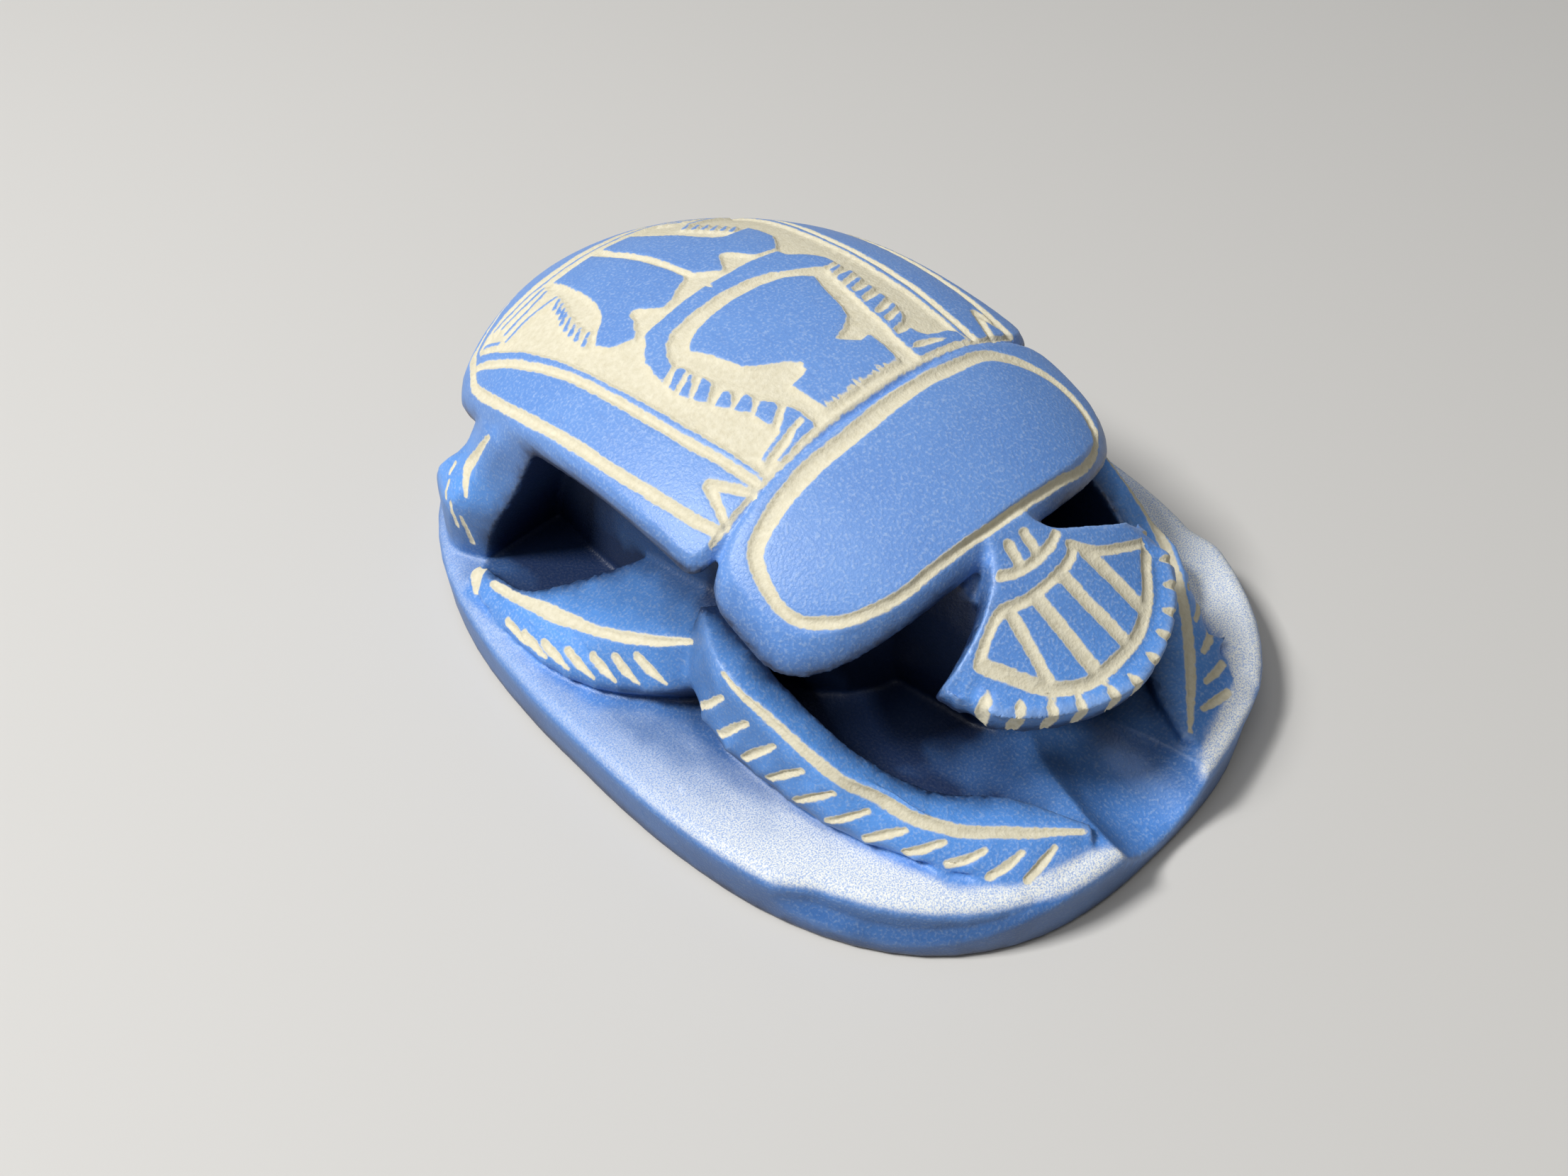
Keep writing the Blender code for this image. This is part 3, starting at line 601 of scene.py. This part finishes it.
def carve(made):
    """Cuts the ornament into the stone and keeps what its colour needs."""
    mesh = made.data
    points = read_points(mesh, "co") / MM
    normals = read_points(mesh, "normal")
    points = true_fan_rim(fill_notches(mesh, true_forms(points, normals)), normals)
    # How shut in each place is, for the painted shade in the hollows
    hollow = hollowness(made, points)
    points = set_fan_aside(points)
    plan = points[:, :2] + WAVER * np.column_stack([drift(points, 2.4), drift(points, 2.4, 9.0)])
    x, y, z = points.T
    on_wings = (abs(dome_height(x, y) - z) < 0.6) & (normals[:, 2] > 0.2) & (y > COLLAR_LINE - 0.35)
    on_fan = (abs(fan_height(x, y) - z) < 0.6) & (normals[:, 2] > 0.3)
    cut = np.full(len(points), REACH)
    depth = np.zeros(len(points))
    for ornament, part, most in (
        (wing_ornament, on_wings, FIELD_DEPTH),
        (fan_ornament, on_fan, FAN_FIELD_DEPTH),
    ):
        cut[part] = np.minimum(cut[part], ornament(plan[part]))
        depth[part] = most * ease(0, WALL_RUN, -cut[part])
    wavering = points + WAVER * drift(points, 3.0, 4.0)[:, None]
    tree = BVHTree.FromPolygons(points.tolist(), [tuple(face.vertices) for face in mesh.polygons])
    for path, width in edge_lines() + leg_marks() + fan_notches():
        on_stone = [tree.find_nearest(Vector(point))[0] for point in path]
        mark = stroke(wavering, on_stone, width)
        depth = np.maximum(depth, MARK_DEPTH * ease(0, WALL_RUN, -mark))
        cut = np.minimum(cut, mark)
    points -= normals * depth[:, None]
    edge = sharpness(mesh, points, normals)
    rubbing = RUBBING_DEPTH * drift(points, 5.0, 2.0) + GRAIN_DEPTH * drift(points, 0.9, 6.0)
    points += normals * rubbing[:, None]
    points[:, 2] = np.maximum(points[:, 2], 0)
    mesh.vertices.foreach_set("co", (points * MM).astype(np.float32).ravel())
    mesh.update()
    keep(mesh, "cut", cut)
    # The pale rough band is left out of the hollows, so that they keep their painted shade
    keep(mesh, "rough_band", rough_band(points, normals) * (1 - ease(0.3, 0.6, hollow)))
    keep(mesh, "edge", edge)
    keep(mesh, "hollow", hollow)
    mark_plain(made, cut)


def mark_plain(made, cut):
    """Names the places away from the edges of the cuts, which may have fewer triangles."""
    plain = made.vertex_groups.new(name="plain")
    weights = np.round(0.5 + 0.5 * ease(0.12, 0.35, abs(cut)), 1)
    for weight in np.unique(weights):
        plain.add(np.flatnonzero(weights == weight).tolist(), float(weight), "REPLACE")


def rough_band(points, normals):
    """How rough the base's top is: fully outside the feet of the legs, not at all inside."""
    beside = np.column_stack([abs(points[:, 0]), points[:, 1]])
    outside = ease(-0.15, 0.6, shape(beside, FEET))
    outside *= 0.3 + 0.7 * ease(4.0, -22.0, points[:, 1])
    above = ease(RIM_HEIGHT - 1.3, RIM_HEIGHT - 0.25, points[:, 2])
    below = 1 - ease(RIM_HEIGHT + 0.2, RIM_HEIGHT + 0.6, points[:, 2])
    return outside * above * below * ease(0.3, 0.7, normals[:, 2])


def softened(mesh, points, rounds, share=1.0):
    """Points moved, so many times, towards the middle of their neighbours by their share."""
    ends = np.empty(len(mesh.edges) * 2, np.int32)
    mesh.edges.foreach_get("vertices", ends)
    ends = ends.reshape(-1, 2)
    number = np.bincount(ends.ravel(), minlength=len(points))
    points = points.copy()
    for _ in range(rounds):
        total = np.zeros_like(points)
        for axis in range(3):
            for here, there in ((0, 1), (1, 0)):
                total[:, axis] += np.bincount(ends[:, here], points[ends[:, there], axis], len(points))
        points += (total / number[:, None] - points) * share
    return points


def fill_notches(mesh, points):
    """Takes the solid's plain notches away, so that finer ones can be cut in their place."""
    near = np.full(len(points), REACH)
    for path in solid_notches():
        near = np.minimum(near, stroke(points, path, 0.0))
    for path, _ in fan_notches():
        near = np.minimum(near, stroke(points, path - (FAN_ASIDE, 0, 0), FAN_NOTCH_FILLING))
    share = 1 - ease(0.95, REACH, near)
    return softened(mesh, points, FILLING_ROUNDS, share[:, None])


def sharpness(mesh, points, normals):
    """How far each point stands out from those around it: above zero along the edges."""
    return ((points - softened(mesh, points, 6)) * normals).sum(1)


def keep(mesh, name, values):
    """Stores one number a point on the mesh."""
    layer = mesh.attributes.new(name, "FLOAT", "POINT")
    layer.data.foreach_set("value", values.astype(np.float32))


def thin_out(made):
    """Fewer triangles where the stone is plain."""
    triangles = sum(len(face.vertices) - 2 for face in made.data.polygons)
    thinning = made.modifiers.new("plain faces", "DECIMATE")
    thinning.ratio = min(1, MOST_TRIANGLES / triangles)
    thinning.vertex_group = "plain"
    bake(made)
    made.data.shade_smooth()


def add_node(tree, kind, inputs=None, **settings):
    """Adds a node with its settings, and its inputs as values or as sockets to link."""
    made = tree.nodes.new(kind)
    for name, value in settings.items():
        setattr(made, name, value)
    for name, value in (inputs or {}).items():
        if isinstance(value, bpy.types.NodeSocket):
            tree.links.new(value, made.inputs[name])
        else:
            made.inputs[name].default_value = value
    return made


def new_material(name):
    """A new material with its nodes and its shader."""
    made = bpy.data.materials.new(name)
    made.use_nodes = True
    return made, made.node_tree, made.node_tree.nodes["Principled BSDF"]


def dyed_stone():
    """Soft stone, carved, dyed and rubbed smooth, then cut through the dye.

    The rubbed skin is a satin blue with the pale grain of the stone showing in it; the cuts are matt,
    chalky cream with frayed edges; the base outside the legs was left rough, so it looks frosted.
    """
    material, tree, shader = new_material("soft stone, dyed blue, rubbed and cut")
    place = add_node(tree, "ShaderNodeTexCoord").outputs["Object"]
    cut, rough, edge, hollow = (
        add_node(tree, "ShaderNodeAttribute", attribute_name=name).outputs["Fac"]
        for name in ("cut", "rough_band", "edge", "hollow")
    )

    # Grain of the stone is about 0.1 mm; drawn at 0.25 mm so that it shows
    grain = add_node(tree, "ShaderNodeTexNoise", {"Vector": place, "Scale": 4000.0, "Detail": 2.0})
    grain = grain.outputs["Fac"]
    # Dye took unevenly in patches about 8 mm wide
    cloud = add_node(tree, "ShaderNodeTexNoise", {"Vector": place, "Scale": 125.0, "Detail": 4.0})
    # Rubbing marks run along the beetle, about 0.3 mm apart and 3 mm long
    rubbed = add_node(tree, "ShaderNodeMapping", {"Vector": place, "Scale": (1.0, 0.12, 1.0)})
    streaks = add_node(tree, "ShaderNodeTexNoise", {
        "Vector": rubbed.outputs["Vector"], "Scale": 3000.0, "Detail": 3.0,
    })
    # Edges of the cuts break away in crumbs of about 0.5 mm
    crumbs = add_node(tree, "ShaderNodeTexNoise", {"Vector": place, "Scale": 2000.0, "Detail": 3.0})

    fray = add_node(tree, "ShaderNodeMapRange", {
        "Value": crumbs.outputs["Fac"], "From Min": 0.3, "From Max": 0.7, "To Min": -0.07, "To Max": 0.07,
    })
    frayed = add_node(tree, "ShaderNodeMath", {0: cut, 1: fray.outputs["Result"]}, operation="ADD")
    bared = add_node(tree, "ShaderNodeMapRange", {
        "Value": frayed.outputs[0], "From Min": 0.05, "From Max": -0.07,
    }).outputs["Result"]

    # The legs, which nothing rubs, are painted a brighter, stronger blue as painted light on them
    high = add_node(tree, "ShaderNodeSeparateXYZ", {"Vector": place}).outputs["Z"]
    above_base = add_node(tree, "ShaderNodeMapRange", {
        "Value": high, "From Min": 0.0065, "From Max": 0.0095, "To Max": 0.7,
    }).outputs["Result"]
    below_back = add_node(tree, "ShaderNodeMapRange", {
        "Value": high, "From Min": 0.020, "From Max": 0.015, "To Max": 0.7,
    }).outputs["Result"]
    painted_light_on_legs = add_node(tree, "ShaderNodeMath", {0: above_base, 1: below_back}, operation="MINIMUM").outputs[0]
    pale_grain = add_node(tree, "ShaderNodeMapRange", {
        "Value": grain, "From Min": 0.5, "From Max": 0.75, "To Max": 0.5,
    }).outputs["Result"]
    streak = add_node(tree, "ShaderNodeMapRange", {
        "Value": streaks.outputs["Fac"], "From Min": 0.55, "From Max": 0.8, "To Max": 0.3,
    }).outputs["Result"]
    # The top of the back is painted paler than the legs as a painted sheen, and handling has worn the edges
    # palest
    painted_sheen_on_back = add_node(tree, "ShaderNodeMapRange", {
        "Value": high, "From Min": 0.015, "From Max": 0.028, "To Max": 0.16,
    }).outputs["Result"]
    worn = add_node(tree, "ShaderNodeMapRange", {
        "Value": edge, "From Min": 0.04, "From Max": 0.16, "To Max": 0.45,
    }).outputs["Result"]
    # Painted shade: the hollows are painted dark, where the dye also lies thick and was never rubbed
    painted_shade_in_hollows = add_node(tree, "ShaderNodeMapRange", {
        "Value": hollow, "From Min": 0.32, "From Max": 0.72, "To Max": 0.95,
    }).outputs["Result"]
    # Crystals in the rough stone are about 0.1 mm; drawn at 0.13 mm as white specks, painted glints on the
    # frosted band
    crystals = add_node(tree, "ShaderNodeTexNoise", {"Vector": place, "Scale": 7500.0, "Detail": 1.0})
    painted_crystal_glints = add_node(tree, "ShaderNodeMapRange", {
        "Value": crystals.outputs["Fac"], "From Min": 0.35, "From Max": 0.6, "To Min": 0.35, "To Max": 1.0,
    }).outputs["Result"]
    frost_and_painted_glints = add_node(tree, "ShaderNodeMath", {0: painted_crystal_glints, 1: rough}, operation="MULTIPLY").outputs[0]

    # A Mix node's colours are its inputs 6 and 7, and its mixed colour is output 2
    dye = add_node(tree, "ShaderNodeMix", {
        "Factor": cloud.outputs["Fac"], 6: colour("4A84D4"), 7: colour("649AE2"),
    }, data_type="RGBA").outputs[2]
    for share, code in (
        (painted_light_on_legs, "66A8FA"),
        (pale_grain, "B4CDEF"),
        (streak, "3D70C0"),
        (painted_sheen_on_back, "B6BFD2"),
        (worn, "9DBDEE"),
        (painted_shade_in_hollows, "0E1B3C"),
        (frost_and_painted_glints, "F3F4EE"),
    ):
        dye = add_node(tree, "ShaderNodeMix", {
            "Factor": share, 6: dye, 7: colour(code),
        }, data_type="RGBA").outputs[2]
    cream = add_node(tree, "ShaderNodeMix", {
        "Factor": crumbs.outputs["Fac"], 6: colour("CCC3A6"), 7: colour("EBE5CF"),
    }, data_type="RGBA").outputs[2]
    tint = add_node(tree, "ShaderNodeMix", {
        "Factor": bared, 6: dye, 7: cream,
    }, data_type="RGBA").outputs[2]
    tree.links.new(tint, shader.inputs["Base Color"])

    gloss = add_node(tree, "ShaderNodeMapRange", {
        "Value": grain, "From Min": 0.3, "From Max": 0.7, "To Min": 0.36, "To Max": 0.52,
    }).outputs["Result"]
    dull = add_node(tree, "ShaderNodeMath", {0: bared, 1: rough}, operation="MAXIMUM").outputs[0]
    finish = add_node(tree, "ShaderNodeMix", {"Factor": dull, 2: gloss, 3: 0.82}).outputs[0]
    tree.links.new(finish, shader.inputs["Roughness"])

    crumbling = add_node(tree, "ShaderNodeMath", {0: bared, 1: crumbs.outputs["Fac"]}, operation="MULTIPLY")
    height = add_node(tree, "ShaderNodeMath", {0: grain, 1: crumbling.outputs[0]}, operation="ADD")
    relief = add_node(tree, "ShaderNodeBump", {
        "Height": height.outputs[0], "Strength": 0.35, "Distance": 0.00012,
    })
    tree.links.new(relief.outputs["Normal"], shader.inputs["Normal"])
    return material


def pale_floor():
    """A board with matt paint: plain and pale."""
    material, _, shader = new_material("matt painted board")
    shader.inputs["Base Color"].default_value = colour("CFCDC9")
    shader.inputs["Roughness"].default_value = 0.8
    mesh = bpy.data.meshes.new("floor")
    far = 1.5
    mesh.from_pydata([(-far, -far, 0), (far, -far, 0), (far, far, 0), (-far, far, 0)], [], [(0, 1, 2, 3)])
    mesh.materials.append(material)
    floor = bpy.data.objects.new("floor", mesh)
    bpy.context.scene.collection.objects.link(floor)


def add_softbox(name, place, size, power):
    """A square soft light that faces the beetle."""
    lamp = bpy.data.lights.new(name, "AREA")
    lamp.size = size
    lamp.energy = power
    made = bpy.data.objects.new(name, lamp)
    made.location = place
    made.rotation_euler = (Vector((0, 0, 0.015)) - Vector(place)).to_track_quat("-Z", "Y").to_euler()
    bpy.context.scene.collection.objects.link(made)


def studio():
    """Soft light from above, from the right of the beetle's tail, in a dim pale room."""
    add_softbox("softbox, right of the tail", (-0.33, 0.18, 0.56), 0.15, 4.3)
    add_softbox("softbox, overhead", (-0.2, -0.1, 0.9), 0.6, 2.2)
    bpy.context.scene.view_settings.view_transform = "Standard"
    world = bpy.data.worlds.new("pale room")
    world.use_nodes = True
    world.node_tree.nodes["Background"].inputs["Color"].default_value = colour("E6EAF0")
    world.node_tree.nodes["Background"].inputs["Strength"].default_value = 0.06
    bpy.context.scene.world = world


def add_camera():
    """The photograph's view."""
    turn, tip, lean = (math.radians(angle) for angle in (AZIMUTH, ELEVATION, ROLL))
    right = Vector((math.cos(turn), math.sin(turn), 0))
    back = Vector((math.sin(turn) * math.cos(tip), -math.cos(turn) * math.cos(tip), math.sin(tip)))
    up = back.cross(right)
    rows = (
        right * math.cos(lean) + up * math.sin(lean),
        up * math.cos(lean) - right * math.sin(lean),
        back,
    )
    lens = bpy.data.cameras.new("camera")
    lens.lens = LENS
    lens.sensor_width = 36
    lens.clip_start = 0.01
    camera = bpy.data.objects.new("camera", lens)
    camera.matrix_world = Matrix.Translation(Vector(CAMERA_PLACE) * MM) @ Matrix(rows).transposed().to_4x4()
    bpy.context.scene.collection.objects.link(camera)
    bpy.context.scene.camera = camera


def main():
    """The whole scene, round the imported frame."""
    for obj in list(bpy.data.objects):
        bpy.data.objects.remove(obj, do_unlink=True)
    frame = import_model()
    add_camera()
    studio()
    pale_floor()
    scarab = fine_copy(frame["nodes"]["scarab"])
    carve(scarab)
    thin_out(scarab)
    scarab.data.materials.clear()
    scarab.data.materials.append(dyed_stone())
    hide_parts("scarab")
    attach(scarab, "root")


main()
